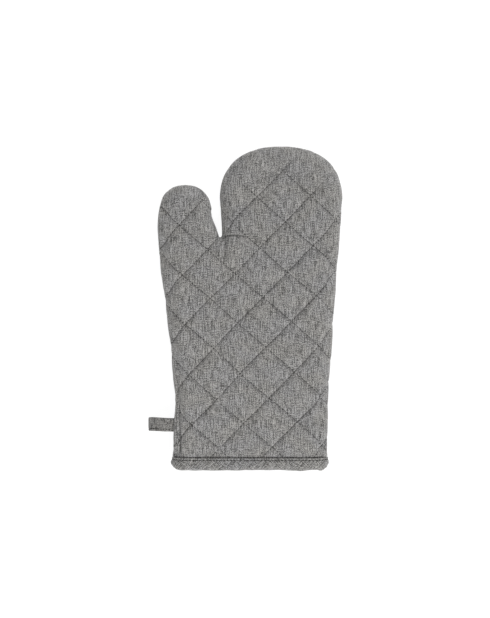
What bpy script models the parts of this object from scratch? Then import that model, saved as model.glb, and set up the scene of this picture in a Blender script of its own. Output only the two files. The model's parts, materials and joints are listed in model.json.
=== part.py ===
"""Quilted oven mitt lying flat on its back panel, with the cuff at -Y and the thumb at -X.

The mitt is two quilted panels, front and back, sewn together round the edge. Each panel is a shell,
a layer of wadding and a lining. Its three stiff lengths are the palm with the cuff, the thumb and
the fingers, and every layer is divided where the mitt folds between them.
"""

import bisect
import math

import bmesh
import bpy
from mathutils import Vector

MM = 0.001  # the sizes below are in millimetres

# Panels. A depth is measured inwards from the outer face, and an inset inwards from the seam in plan.
HALF_THICKNESS = 14.0
EDGE_ROLL = 14.0  # inset over which a panel rolls up from the seam to its flat
SHELL_DEPTHS = (0.0, 1.2)
WADDING_DEPTHS = (1.5, 4.9)
LINING_DEPTHS = (5.2, 6.0)
GAP = 0.3  # kept between pieces that touch
ROLL_STEPS = 3

# Outline in plan, clockwise from the left end of the mouth. The round ends are superellipses.
LEFT_SIDE = [(-70.6, -157.5), (-70.6, -138.0), (-69.0, -95.0), (-72.7, -40.0), (-79.7, 18.0), (-84.7, 62.0)]
THUMB_END = {"centre": (-58.5, 90.0), "half_width": 26.4, "height": 31.0}
CROTCH = [(-27.8, 79.0), (-24.2, 71.2), (-22.6, 79.0)]
FINGER_END = {"centre": (35.7, 107.8), "half_width": 60.0, "height": 51.2}
RIGHT_SIDE = [(93.0, 66.0), (88.7, 12.0), (85.1, -45.0), (81.9, -92.0), (81.0, -138.0), (81.0, -157.5)]
END_POWER = 2.3
OUTLINE_STEP = 26.0  # longest step along a straight stretch
OUTLINE_TURN = 23.0  # widest turn in degrees between two steps

# Cuff binding, a folded strip round the mouth, with one row of stitching in it.
BINDING_TOP = -145.8
BINDING_INNER_TOP = -147.0
BINDING_BOTTOM = -159.0
BINDING_THICKNESS = 1.2
BINDING_STITCH_Y = -147.9
PINCH_START = -139.0  # the panels are squeezed thinner from here to the binding
PINCH_END = -145.0

# Quilting, two families of lines that share one crossing.
QUILT_CROSSING = (-6.6, -14.4)
QUILT_FAMILIES = [(46.0, 36.2), (-41.0, 35.1)]  # angle in degrees, spacing
QUILT_LINES = 6  # lines to each side of the crossing
QUILT_MARGIN = 2.0  # from the edge roll to the ends of the lines
THREAD_WIDTH = 1.0
THREAD_THICKNESS = 0.5

# Folds, each a hinge line at mid-thickness: a point on it and the direction out of the palm.
THUMB_FOLD = ((-58.0, 70.1), 20.0)  # point, lean of its direction from +Y towards -X in degrees
FINGER_FOLD = ((35.0, 82.0), 0.0)
FOLD_RANGE = 45.0
FOLD_SPARE = 3.0  # degrees that the fold groove is cut wider than the range
THUMB_DIVIDE_X = -26.2  # the slit between the thumb and the fingers

# Seam allowance turned inside the mitt, and the stitching that closes it.
ALLOWANCE_INSETS = (7.0, 12.0)
ALLOWANCE_HALF = 2.0
SEAM_STITCH_INSETS = (9.0, 9.8)
SEAM_STITCH_RISE = (2.3, 2.8)
PALM_SEAM_STRETCHES = ("left", "crotch", "right")

# Hanging loop, a folded tape sewn into the left side seam.
LOOP_Y = -114.6
LOOP_WIDTH = 13.3
TAPE_THICKNESS = 1.2
LOOP_EYE_RADIUS = 3.2
LOOP_REACH = -95.6  # furthest point of the fold
LOOP_HINGE_OUT = 2.0  # from the side seam out to the hinge
LOOP_SEWN_IN = 12.0
LOOP_STITCH_FROM_EDGE = 2.5

COLOURS = {
    "shell": ((0.235, 0.232, 0.226), 0.95),
    "wadding": ((0.80, 0.79, 0.75), 1.0),
    "lining": ((0.52, 0.51, 0.49), 0.95),
    "thread": ((0.06, 0.055, 0.05), 0.8),
    "tape": ((0.20, 0.195, 0.19), 0.95),
}


# ---- plan outline -------------------------------------------------------------------------------


def round_end(centre, half_width, height):
    """Left to right over the tip of a superellipse."""
    points = []
    for step in range(13):
        angle = math.radians(180 - 15 * step)
        across = math.copysign(abs(math.cos(angle)) ** (2 / END_POWER), math.cos(angle))
        up = abs(math.sin(angle)) ** (2 / END_POWER)
        points.append((centre[0] + half_width * across, centre[1] + height * up))
    return points


def smooth_curve(points, per_span=12):
    """A centripetal Catmull-Rom curve through the points."""
    points = [Vector(p) for p in points]
    ends = [2 * points[0] - points[1], 2 * points[-1] - points[-2]]
    padded = [ends[0], *points, ends[1]]
    curve = []
    for a, b, c, d in zip(padded, padded[1:], padded[2:], padded[3:]):
        times = [0.0]
        for start, end in ((a, b), (b, c), (c, d)):
            times.append(times[-1] + math.sqrt((end - start).length))
        for step in range(per_span):
            t = times[1] + (times[2] - times[1]) * step / per_span
            curve.append(blended_point((a, b, c, d), times, t))
    return [*curve, points[-1]]


def blended_point(points, times, t):
    """The Catmull-Rom point at time t, by repeated linear blending."""
    row = list(points)
    for span in (1, 2, 1):
        row_times = times if len(row) > 2 else times[1:]
        row = [
            row[i].lerp(row[i + 1], (t - row_times[i]) / (row_times[i + span] - row_times[i]))
            for i in range(len(row) - 1)
        ]
    return row[0]


def thin_out(curve):
    """Keeps the points of a fine curve that its length and its turns need."""
    marks = [0.0]
    for i in range(1, len(curve)):
        run = curve[i] - curve[i - 1]
        turn = 0.0
        if i + 1 < len(curve):
            turn = math.degrees(run.angle(curve[i + 1] - curve[i], 0.0))
        marks.append(marks[-1] + run.length / OUTLINE_STEP + turn / OUTLINE_TURN)
    count = round(marks[-1])
    picked = [bisect.bisect_left(marks, marks[-1] * k / count) for k in range(count + 1)]
    return sorted({min(i, len(curve) - 1) for i in picked})


def outline():
    """The seam line as (point, inward normal) pairs."""
    points = [*LEFT_SIDE, *round_end(**THUMB_END), *CROTCH, *round_end(**FINGER_END), *RIGHT_SIDE]
    curve = smooth_curve(points)
    pairs = []
    for i in thin_out(curve):
        along = curve[min(i + 1, len(curve) - 1)] - curve[max(i - 1, 0)]
        pairs.append((curve[i], Vector((along.y, -along.x)).normalized()))
    pairs[0] = (curve[0], Vector((1, 0)))
    pairs[-1] = (curve[-1], Vector((-1, 0)))
    return pairs


OUTLINE = outline()


def inset_line(inset):
    return [point + normal * inset for point, normal in OUTLINE]


# ---- scene helpers ------------------------------------------------------------------------------


def clear_scene():
    for item in list(bpy.data.objects):
        bpy.data.objects.remove(item)


def material(name):
    found = bpy.data.materials.get(name)
    if found:
        return found
    colour, roughness = COLOURS[name]
    made = bpy.data.materials.new(name)
    made.use_nodes = True
    shader = made.node_tree.nodes["Principled BSDF"]
    shader.inputs["Base Color"].default_value = (*colour, 1.0)
    shader.inputs["Roughness"].default_value = roughness
    shader.inputs["Metallic"].default_value = 0.0
    return made


def new_object(name, mesh):
    made = bpy.data.objects.new(name, mesh)
    bpy.context.scene.collection.objects.link(made)
    return made


def mesh_from(bm, name):
    """Closes the bmesh into a mesh in metres, with its faces pointing out."""
    bm.normal_update()
    bmesh.ops.recalc_face_normals(bm, faces=bm.faces)
    bmesh.ops.scale(bm, vec=(MM, MM, MM), verts=bm.verts)
    bmesh.ops.translate(bm, vec=(0, 0, HALF_THICKNESS * MM), verts=bm.verts)
    mesh = bpy.data.meshes.new(name)
    bm.to_mesh(mesh)
    bm.free()
    return mesh


def boolean(mesh, other, operation):
    """The mesh after an exact Boolean with another mesh."""
    subject = new_object("subject", mesh)
    tool = new_object("tool", other)
    modifier = subject.modifiers.new("Boolean", "BOOLEAN")
    modifier.operation = operation
    modifier.solver = "EXACT"
    modifier.object = tool
    graph = bpy.context.evaluated_depsgraph_get()
    result = bpy.data.meshes.new_from_object(subject.evaluated_get(graph))
    bpy.data.objects.remove(subject)
    bpy.data.objects.remove(tool)
    return result


def linked_verts(start):
    """Every vert that edges join to this one."""
    piece = {start}
    front = [start]
    while front:
        vert = front.pop()
        for edge in vert.link_edges:
            other = edge.other_vert(vert)
            if other not in piece:
                piece.add(other)
                front.append(other)
    return piece


def loose_pieces(mesh):
    """The mesh's separate bodies, from -X to +X."""
    source = bmesh.new()
    source.from_mesh(mesh)
    left = set(source.verts)
    groups = []
    while left:
        group = linked_verts(next(iter(left)))
        left -= group
        groups.append({vert.index for vert in group})
    source.free()
    groups.sort(key=lambda group: min(mesh.vertices[i].co.x for i in group))
    return [only_verts(mesh, group) for group in groups]


def only_verts(mesh, kept):
    """A copy of the mesh with only these verts."""
    bm = bmesh.new()
    bm.from_mesh(mesh)
    dropped = [vert for vert in bm.verts if vert.index not in kept]
    bmesh.ops.delete(bm, geom=dropped, context="VERTS")
    copy = bpy.data.meshes.new(mesh.name)
    bm.to_mesh(copy)
    bm.free()
    return copy


def add_part(name, mesh, slot, frame):
    """A named part with its material, under the frame that its body turns about."""
    mesh.name = name
    mesh.materials.clear()
    mesh.materials.append(material(slot))
    part = new_object(name, mesh)
    part.parent = frame
    part.matrix_parent_inverse = frame.matrix_world.inverted()


def add_frame(name, point):
    """An empty at mid-thickness, on the joint's axis."""
    made = new_object(name, None)
    made.location = Vector((point[0], point[1], HALF_THICKNESS)) * MM
    bpy.context.view_layer.update()
    return made


# ---- solids -------------------------------------------------------------------------------------


def loft(rings, closed_loft=False):
    """A bmesh of quads between closed rings of points, with its ends filled unless the loft is closed."""
    bm = bmesh.new()
    grid = [[bm.verts.new(point) for point in ring] for ring in rings]
    count = len(grid[0])
    pairs = list(zip(grid, grid[1:]))
    if closed_loft:
        pairs.append((grid[-1], grid[0]))
    for low, high in pairs:
        for i in range(count):
            j = (i + 1) % count
            bm.faces.new((low[i], low[j], high[j], high[i]))
    if not closed_loft:
        bm.faces.new(grid[0])
        bm.faces.new(grid[-1])
    return bm


def prism(polygon, low, high):
    """An upright prism over a plan polygon."""
    return loft([[(x, y, z) for x, y in polygon] for z in (low, high)])


def roll_angles():
    return [math.radians(90 * step / ROLL_STEPS) for step in range(ROLL_STEPS + 1)]


def roll_section(depth):
    """(inset, height) of the face at that depth, from the seam up to the flat."""
    section = []
    for angle in roll_angles():
        inset = EDGE_ROLL - (EDGE_ROLL - depth) * math.cos(angle)
        height = (HALF_THICKNESS - depth) * math.sin(angle)
        section.append((inset, max(height, GAP / 2)))
    return section


def panel_layer(depths, side):
    """One layer of one panel: the space between two depths, open along the seam and at the mouth."""
    bm = bmesh.new()
    faces = []
    for depth in depths:
        rings = []
        for inset, height in roll_section(depth):
            rings.append([bm.verts.new((p.x, p.y, height)) for p in inset_line(inset)])
        for low, high in zip(rings, rings[1:]):
            for i in range(len(low) - 1):
                bm.faces.new((low[i], low[i + 1], high[i + 1], high[i]))
        bm.faces.new(rings[-1])
        faces.append(rings)
    outer, inner = faces
    for i in range(len(outer[0]) - 1):
        bm.faces.new((outer[0][i], outer[0][i + 1], inner[0][i + 1], inner[0][i]))
    left_outer = [ring[0] for ring in outer]
    right_outer = [ring[-1] for ring in reversed(outer)]
    right_inner = [ring[-1] for ring in inner]
    left_inner = [ring[0] for ring in reversed(inner)]
    bm.faces.new([*left_outer, *right_outer, *right_inner, *left_inner])
    pinch_cuff(bm)
    bmesh.ops.scale(bm, vec=(1, 1, side), verts=bm.verts)
    return mesh_from(bm, "layer")


def pinch_factor():
    """How far the binding squeezes the panels."""
    return (HALF_THICKNESS - GAP - BINDING_THICKNESS) / HALF_THICKNESS


def pinch_cuff(bm):
    """Squeezes a layer towards the seam plane where the binding holds it."""
    for y in (PINCH_START, PINCH_END):
        everything = [*bm.verts, *bm.edges, *bm.faces]
        bmesh.ops.bisect_plane(bm, geom=everything, plane_co=(0, y, 0), plane_no=(0, 1, 0))
    for vert in bm.verts:
        share = (PINCH_START - vert.co.y) / (PINCH_START - PINCH_END)
        share = min(max(share, 0.0), 1.0)
        vert.co.z *= 1 - share * (1 - pinch_factor())


def seam_strip(insets, low, high):
    """A strip of rectangular section that follows the seam inside the mitt, down to the binding."""
    end = BINDING_INNER_TOP + GAP
    near, far = (inset_line(inset) for inset in insets)
    rings = []
    for a, b in zip(near, far):
        y0, y1 = max(a.y, end), max(b.y, end)
        rings.append([(a.x, y0, low), (b.x, y1, low), (b.x, y1, high), (a.x, y0, high)])
    return mesh_from(loft(rings), "strip")


# ---- quilting -----------------------------------------------------------------------------------


def quilt_bars(family, width, low, high):
    """One family of parallel bars across the whole mitt."""
    angle, spacing = family
    along = Vector((math.cos(math.radians(angle)), math.sin(math.radians(angle))))
    across = Vector((-along.y, along.x))
    bm = bmesh.new()
    for number in range(-QUILT_LINES, QUILT_LINES + 1):
        middle = Vector(QUILT_CROSSING) + across * spacing * number
        corners = []
        for end, edge in ((-1, -1), (1, -1), (1, 1), (-1, 1)):
            corners.append(middle + along * 400 * end + across * width / 2 * edge)
        bottom = [bm.verts.new((c.x, c.y, low)) for c in corners]
        top = [bm.verts.new((c.x, c.y, high)) for c in corners]
        bm.faces.new(bottom)
        bm.faces.new(top)
        for i in range(4):
            j = (i + 1) % 4
            bm.faces.new((bottom[i], bottom[j], top[j], top[i]))
    return mesh_from(bm, "bars")


def quilt_lattice(width, low, high, margin):
    """Both families of bars, joined where they cross and ending short of the edge roll."""
    rising, falling = (quilt_bars(family, width, low, high) for family in QUILT_FAMILIES)
    lattice = boolean(rising, falling, "UNION")
    rim = inset_line(EDGE_ROLL + margin)
    cuff_edge = PINCH_START + margin
    inside = [p for p in rim if p.y > cuff_edge]
    field = [(inside[0].x, cuff_edge), *[(p.x, p.y) for p in inside], (inside[-1].x, cuff_edge)]
    clip = mesh_from(prism(field, low - 1, high + 1), "clip")
    return boolean(lattice, clip, "INTERSECT")


def quilt_groove(side):
    """The valley that the quilting thread pulls into a shell."""
    depth = THREAD_THICKNESS + GAP
    heights = sorted((side * (HALF_THICKNESS - depth), side * (HALF_THICKNESS + 1)))
    return quilt_lattice(THREAD_WIDTH + 2 * GAP, *heights, QUILT_MARGIN)


def quilt_thread(side):
    """The thread, flush with the shell's face."""
    heights = sorted((side * (HALF_THICKNESS - THREAD_THICKNESS), side * HALF_THICKNESS))
    return quilt_lattice(THREAD_WIDTH, *heights, QUILT_MARGIN + GAP)


# ---- regions between the folds ------------------------------------------------------------------


def fold_direction(fold):
    """Unit vector in plan, from the palm out across the fold."""
    lean = math.radians(fold[1])
    return Vector((-math.sin(lean), math.cos(lean)))


def fold_crossing(fold, x, shift):
    """The point at x on the fold line moved out of the palm by shift."""
    out = fold_direction(fold)
    base = Vector(fold[0]) + out * shift
    return (x, base.y - (x - base.x) * out.x / out.y)


def region_polygon(region, shift):
    """Plan of a region whose fold edges stand back by shift."""
    left, right, top, bottom = -130.0, 130.0, 200.0, -200.0
    divide = THUMB_DIVIDE_X
    if region == "thumb":
        return [fold_crossing(THUMB_FOLD, left, shift), fold_crossing(THUMB_FOLD, divide, shift),
                (divide, top), (left, top)]
    if region == "fingers":
        return [fold_crossing(FINGER_FOLD, divide, shift), fold_crossing(FINGER_FOLD, right, shift),
                (right, top), (divide, top)]
    return [(left, bottom), (right, bottom), fold_crossing(FINGER_FOLD, right, -shift),
            fold_crossing(FINGER_FOLD, divide, -shift), fold_crossing(THUMB_FOLD, divide, -shift),
            fold_crossing(THUMB_FOLD, left, -shift)]


def region_mesh(region):
    """A region with V-shaped fold edges, so that it can fold either way without touching."""
    slope = math.tan(math.radians((FOLD_RANGE + FOLD_SPARE) / 2))
    reach = HALF_THICKNESS + 6
    rings = []
    for z in (-reach, 0.0, reach):
        shift = GAP + abs(z) * slope
        rings.append([(x, y, z) for x, y in region_polygon(region, shift)])
    return mesh_from(loft(rings), region)


# ---- cuff binding -------------------------------------------------------------------------------


def mouth_loop(y, outwards, half_height):
    """A closed loop round the mouth: outwards is how far it stands off the seam line at the sides."""
    left = LEFT_SIDE[0][0]
    right = RIGHT_SIDE[-1][0]
    radius = EDGE_ROLL + outwards
    quarter = [(radius * math.cos(a), half_height * math.sin(a)) for a in roll_angles()]
    front = [(right - EDGE_ROLL + x, y, z) for x, z in quarter]
    front += [(left + EDGE_ROLL - x, y, z) for x, z in reversed(quarter)]
    back = [(x, y, -z) for x, y, z in reversed(front[1:-1])]
    return front + back


def outer_loop(y, offset):
    """A loop that far outside the squeezed shells."""
    return mouth_loop(y, offset, HALF_THICKNESS * pinch_factor() + offset)


def inner_loop(y, offset):
    """A loop that far inside the squeezed linings."""
    lining = LINING_DEPTHS[1]
    half_height = (HALF_THICKNESS - lining) * pinch_factor() - offset
    return mouth_loop(y, -lining - offset, half_height)


def cuff_binding():
    """A U section swept round the mouth, with a groove for its stitching."""
    face = GAP + BINDING_THICKNESS
    floor = face - THREAD_THICKNESS - GAP
    half_groove = THREAD_WIDTH / 2 + GAP
    groove_top = BINDING_STITCH_Y + half_groove
    groove_bottom = BINDING_STITCH_Y - half_groove
    fold = BINDING_BOTTOM + BINDING_THICKNESS
    loops = [
        outer_loop(BINDING_TOP, GAP),
        outer_loop(BINDING_TOP, face),
        outer_loop(groove_top, face),
        outer_loop(groove_top, floor),
        outer_loop(groove_bottom, floor),
        outer_loop(groove_bottom, face),
        outer_loop(BINDING_BOTTOM, face),
        inner_loop(BINDING_BOTTOM, face),
        inner_loop(BINDING_INNER_TOP, face),
        inner_loop(BINDING_INNER_TOP, GAP),
        inner_loop(fold, GAP),
        outer_loop(fold, GAP),
    ]
    return mesh_from(loft(loops, closed_loft=True), "binding")


def binding_stitching():
    """The thread ring in the binding's groove."""
    face = GAP + BINDING_THICKNESS
    floor = face - THREAD_THICKNESS
    top = BINDING_STITCH_Y + THREAD_WIDTH / 2
    bottom = BINDING_STITCH_Y - THREAD_WIDTH / 2
    loops = [
        outer_loop(top, floor),
        outer_loop(top, face),
        outer_loop(bottom, face),
        outer_loop(bottom, floor),
    ]
    return mesh_from(loft(loops, closed_loft=True), "binding_stitching")


# ---- hanging loop -------------------------------------------------------------------------------


def side_seam_x(y):
    """The left side seam at that y."""
    points = LEFT_SIDE
    for (x0, y0), (x1, y1) in zip(points, points[1:]):
        if y0 <= y <= y1:
            return x0 + (x1 - x0) * (y - y0) / (y1 - y0)
    return points[0][0]


def loop_hinge_x():
    return side_seam_x(LOOP_Y) - LOOP_HINGE_OUT


def loop_droop():
    """(angle below level, distance from the hinge to the eye's centre) with the fold on the ground."""
    outer = LOOP_EYE_RADIUS + TAPE_THICKNESS
    out = loop_hinge_x() - LOOP_REACH - outer
    down = HALF_THICKNESS - outer
    return math.atan2(down, out), math.hypot(out, down)


def teardrop(radius, root_half):
    """Closed (out, up) outline: narrow at the hinge, a round nose at the eye."""
    _, reach = loop_droop()
    angles = [math.radians(a) for a in range(100, -101, -20)]
    nose = [(reach + radius * math.cos(a), radius * math.sin(a)) for a in angles]
    return [(GAP, root_half), *nose, (GAP, -root_half)]


def teardrop_eye():
    """The hole of the loop, which closes just beyond the hinge."""
    _, reach = loop_droop()
    angles = [math.radians(a) for a in range(100, -101, -20)]
    nose = [(reach + LOOP_EYE_RADIUS * math.cos(a), LOOP_EYE_RADIUS * math.sin(a)) for a in angles]
    return [(TAPE_THICKNESS * 2, GAP / 2), *nose, (TAPE_THICKNESS * 2, -GAP / 2)]


def place_on_loop(bm):
    """Turns (out, width, up) of the loop down onto the ground at the side seam."""
    droop, _ = loop_droop()
    for vert in bm.verts:
        out, across, up = vert.co
        x = loop_hinge_x() - out * math.cos(droop) - up * math.sin(droop)
        z = up * math.cos(droop) - out * math.sin(droop)
        vert.co = (x, LOOP_Y + across, z)


def loop_slab(outline_points, low, high):
    """An (out, up) outline drawn out across the tape's width."""
    bm = loft([[(out, y, up) for out, up in outline_points] for y in (low, high)])
    place_on_loop(bm)
    return mesh_from(bm, "loop")


def hanging_loop():
    """The tape, bent round into a flat eye."""
    half = LOOP_WIDTH / 2
    body = loop_slab(teardrop(LOOP_EYE_RADIUS + TAPE_THICKNESS, TAPE_THICKNESS), -half, half)
    eye = loop_slab(teardrop_eye(), -half - 1, half + 1)
    return boolean(body, eye, "DIFFERENCE")


def hanging_loop_stitching():
    """A thread along the upper leg, near the edge that faces the cuff."""
    _, reach = loop_droop()
    rise = LOOP_EYE_RADIUS + TAPE_THICKNESS - TAPE_THICKNESS
    slope = rise / (reach - GAP)
    start, end = 3.0, reach - 2.0
    lift = TAPE_THICKNESS + GAP * 2
    corners = [(start, lift + start * slope), (end, lift + end * slope)]
    section = [*corners, (end, corners[1][1] + THREAD_THICKNESS), (start, corners[0][1] + THREAD_THICKNESS)]
    middle = LOOP_STITCH_FROM_EDGE - LOOP_WIDTH / 2
    return loop_slab(section, middle - THREAD_WIDTH / 2, middle + THREAD_WIDTH / 2)


def loop_tape_ends():
    """The two ends of the tape, sewn flat between the panels, clear of the loop as it swings."""
    outer_end = loop_hinge_x() + TAPE_THICKNESS + GAP
    inner_end = side_seam_x(LOOP_Y) + LOOP_SEWN_IN
    half = LOOP_WIDTH / 2
    corners = [(outer_end, LOOP_Y - half), (inner_end, LOOP_Y - half),
               (inner_end, LOOP_Y + half), (outer_end, LOOP_Y + half)]
    return mesh_from(prism(corners, -TAPE_THICKNESS, TAPE_THICKNESS), "tape_ends")


def tape_slot():
    """The room that the tape's ends take between the panels."""
    seam = side_seam_x(LOOP_Y)
    half = LOOP_WIDTH / 2 + GAP
    corners = [(seam - 5, LOOP_Y - half), (seam + LOOP_SEWN_IN + GAP, LOOP_Y - half),
               (seam + LOOP_SEWN_IN + GAP, LOOP_Y + half), (seam - 5, LOOP_Y + half)]
    return mesh_from(prism(corners, -TAPE_THICKNESS - GAP, TAPE_THICKNESS + GAP), "slot")


# ---- assembly -----------------------------------------------------------------------------------


def region_share(mesh, region):
    """The part of a layer that lies in a region, with room for the tape's ends."""
    share = boolean(mesh, region_mesh(region), "INTERSECT")
    if region == "palm":
        share = boolean(share, tape_slot(), "DIFFERENCE")
    return share


def add_layer(suffix, mesh, slot, frames):
    """A layer divided at the folds."""
    for region, frame in frames.items():
        add_part(f"{region}_{suffix}", region_share(mesh, region), slot, frame)


def add_quilting(suffix, mesh, frames):
    """A lattice divided at the folds, without the short runs that a fold has cut off."""
    for region, frame in frames.items():
        pieces = loose_pieces(region_share(mesh, region))
        largest = max(pieces, key=lambda piece: len(piece.vertices))
        add_part(f"{region}_{suffix}", largest, "thread", frame)


def add_seam(suffix, mesh, slot, frames):
    """A strip along the seam. The palm has three stretches of it, which the folds part."""
    for region, frame in frames.items():
        pieces = loose_pieces(region_share(mesh, region))
        if region == "palm":
            for stretch, piece in zip(PALM_SEAM_STRETCHES, pieces):
                add_part(f"palm_{suffix}_{stretch}", piece, slot, frame)
        else:
            add_part(f"{region}_{suffix}", pieces[0], slot, frame)


def add_panel(name, side, frames):
    """Shell, wadding, lining and quilting of the front or the back panel."""
    shell = boolean(panel_layer(SHELL_DEPTHS, side), quilt_groove(side), "DIFFERENCE")
    add_layer(f"{name}_shell", shell, "shell", frames)
    add_layer(f"{name}_wadding", panel_layer(WADDING_DEPTHS, side), "wadding", frames)
    add_layer(f"{name}_lining", panel_layer(LINING_DEPTHS, side), "lining", frames)
    add_quilting(f"{name}_quilting", quilt_thread(side), frames)


def build():
    clear_scene()
    frames = {
        "palm": add_frame("palm_middle", (0, 0)),
        "thumb": add_frame("thumb_fold", THUMB_FOLD[0]),
        "fingers": add_frame("finger_fold", FINGER_FOLD[0]),
    }
    loop_frame = add_frame("loop_swing", (loop_hinge_x(), LOOP_Y))
    add_panel("front", 1, frames)
    add_panel("back", -1, frames)
    allowance = seam_strip(ALLOWANCE_INSETS, -ALLOWANCE_HALF, ALLOWANCE_HALF)
    add_seam("seam_allowance", allowance, "lining", frames)
    stitching = seam_strip(SEAM_STITCH_INSETS, *SEAM_STITCH_RISE)
    add_seam("seam_stitching", stitching, "thread", frames)
    add_part("cuff_binding", cuff_binding(), "shell", frames["palm"])
    add_part("cuff_binding_stitching", binding_stitching(), "thread", frames["palm"])
    add_part("loop_tape_ends", loop_tape_ends(), "tape", frames["palm"])
    add_part("hanging_loop", hanging_loop(), "tape", loop_frame)
    add_part("hanging_loop_stitching", hanging_loop_stitching(), "thread", loop_frame)


build()
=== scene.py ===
"""Looks of the quilted oven mitt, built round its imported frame."""

import functools
import json
import math

import bmesh
import bpy
import numpy as np
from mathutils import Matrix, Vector, geometry
from mathutils.bvhtree import BVHTree
from mathutils.kdtree import KDTree
from numpy.linalg import norm


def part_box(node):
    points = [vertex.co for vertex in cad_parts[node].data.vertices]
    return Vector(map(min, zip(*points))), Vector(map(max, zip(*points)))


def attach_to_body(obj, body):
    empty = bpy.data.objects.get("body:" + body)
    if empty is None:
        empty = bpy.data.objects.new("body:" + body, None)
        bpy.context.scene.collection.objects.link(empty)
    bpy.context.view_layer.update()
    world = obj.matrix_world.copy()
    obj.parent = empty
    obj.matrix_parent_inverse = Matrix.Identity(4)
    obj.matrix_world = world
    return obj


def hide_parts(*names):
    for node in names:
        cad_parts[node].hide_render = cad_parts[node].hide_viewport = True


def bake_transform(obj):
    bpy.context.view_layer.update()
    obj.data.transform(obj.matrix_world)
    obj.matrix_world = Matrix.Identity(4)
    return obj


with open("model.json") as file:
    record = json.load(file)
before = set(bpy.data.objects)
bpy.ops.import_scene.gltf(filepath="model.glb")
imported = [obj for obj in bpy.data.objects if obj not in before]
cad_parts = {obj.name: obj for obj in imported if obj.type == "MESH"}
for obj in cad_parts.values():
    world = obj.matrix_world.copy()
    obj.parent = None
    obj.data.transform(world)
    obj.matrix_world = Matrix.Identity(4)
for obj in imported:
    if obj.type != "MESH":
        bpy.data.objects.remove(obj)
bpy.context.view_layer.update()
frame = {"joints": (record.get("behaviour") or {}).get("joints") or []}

SCENE = bpy.context.scene
MM = 0.001

# ---- driving sizes, in millimetres ----

SHELL_LOW, SHELL_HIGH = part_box("palm_front_shell")
HALF_THICKNESS = SHELL_HIGH.z / 2 / MM  # from the seam plane to the flat of each panel
EDGE_ROLL = HALF_THICKNESS  # inset over which a panel rolls from the seam to its flat
ROLL_LENGTH = EDGE_ROLL * math.pi / 2  # the same roll measured along the cloth
MOUTH_Y = SHELL_LOW.y / MM

# The seam line, clockwise from the left end of the mouth. The round ends are superellipses.
LEFT_SIDE = [(-70.6, MOUTH_Y), (-70.6, -138.0), (-69.0, -95.0),
             (-72.7, -40.0), (-79.7, 18.0), (-84.7, 62.0)]
THUMB_END = {"centre": (-58.5, 90.0), "half_width": 26.4, "height": 31.0}
CROTCH = [(-27.8, 79.0), (-24.2, 71.2), (-22.6, 79.0)]
FINGER_END = {"centre": (35.7, 107.8), "half_width": 60.0, "height": 51.2}
RIGHT_SIDE = [(93.0, 66.0), (88.7, 12.0), (85.1, -45.0),
              (81.9, -92.0), (81.0, -138.0), (81.0, MOUTH_Y)]
END_POWER = 2.3
SLIT_LEAN = 4.2  # of the slit above the crotch, towards the thumb
SLIT_LEAN_FROM, SLIT_LEAN_TO = 71.0, 95.0

# How the panels are meshed: strips next to the seam, rows along the lines and an even grid.
STRIP_ANGLES = np.radians((0.0, 8.0, 16.0, 24.0))
SEAM_STEP, SEAM_TURN = 0.5, 2.0  # of the seam line that insets are measured from, in mm and degrees
FINE = {"step": 1.7, "rows": {"pitch": 1.4, "offsets": (0.0, -0.6, 0.6, -1.3, 1.3, -2.2, 2.2)}}
COARSE = {"step": 3.4, "rows": {"pitch": 3.0, "offsets": (0.0, -1.6, 1.6)}}
ROW_ROOM = 0.37  # how close two places of the rows may lie, as a share of the rows' pitch
BACK_WEAVE_SHIFT = (370.0, 210.0)  # so that the two panels' yarns don't mirror each other at the seam
CROTCH_SPREAD = (2.5, 12.0)  # from the crotch, where the cloth is pulled flat into the corner

# Layers of a panel. Depths are measured inwards from its outer face.
LEAST_HEIGHT = 0.12  # above the seam plane
SHELL_THICKNESS = 0.8
WADDING_DEPTHS = (1.1, 4.9)
WADDING_GAP = 0.25  # least room between the shell and the wadding
WADDING_LEAST = 0.5  # least thickness of the wadding
LINING_DEPTH = 5.1  # where the lining lies unquilted
LINING_GAP = 0.15
LINING_THICKNESS = 0.8

# Quilting lines: two families that share one crossing.
QUILT_CROSSING = np.array((-6.6, -14.4))
QUILT_FAMILIES = [(46.0, 36.2), (-41.0, 35.1)]  # angle in degrees, spacing
LINE_NUMBERS = range(-7, 8)
LINE_REACH = 260  # each way along a line, past the panel's ends
BEND_REACH = 0.9  # how far the lines stray from straight
BEND_CELL = 44.0
QUILT_DEPTH = 2.3
QUILT_REACH = 7.5  # how far the pull of a line is felt
BACK_LEAST = -0.1  # the least depth of the back, which keeps it flat where it rests
PINCH_DEPTHS = (0.6, 0.5)  # the sharp bottom of each family's grooves, under the thread
PINCH_REACH = 0.9
STITCH_LENGTH = 2.4
STITCH_PITCH = 3.3
STITCH_STEPS = np.arange(6) / 5  # places along a stitch, as shares of its length
THREAD_RADIUS = 0.38
ARCH = np.array((-0.45, 0.02, 0.16, 0.16, 0.02, -0.45)) * MM  # of a stitch over the cloth
THREAD_LIES = (0.0, 0.03 * MM)  # how deep each family's thread lies in the cloth
THREAD_SINKS = 0.45 * MM  # and how much deeper where the quilting fades

# Cloth simulation of the shell between its stitching.
SETTLE_SCALE = 100.0  # it runs at 10 mm to the unit
SETTLE_FRAMES = 10
SETTLE_CAP = 1.2  # the most that a place rises
SETTLE_SLACK = 0.025  # extra length of the cloth, as a share
SETTLE = {"quality": 5, "tension_stiffness": 15, "compression_stiffness": 15, "shear_stiffness": 5,
          "bending_stiffness": 0.4, "vertex_group_mass": "held", "shrink_min": -SETTLE_SLACK,
          "shrink_max": -SETTLE_SLACK, "use_pressure": True, "uniform_pressure_force": 2.5}

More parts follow.
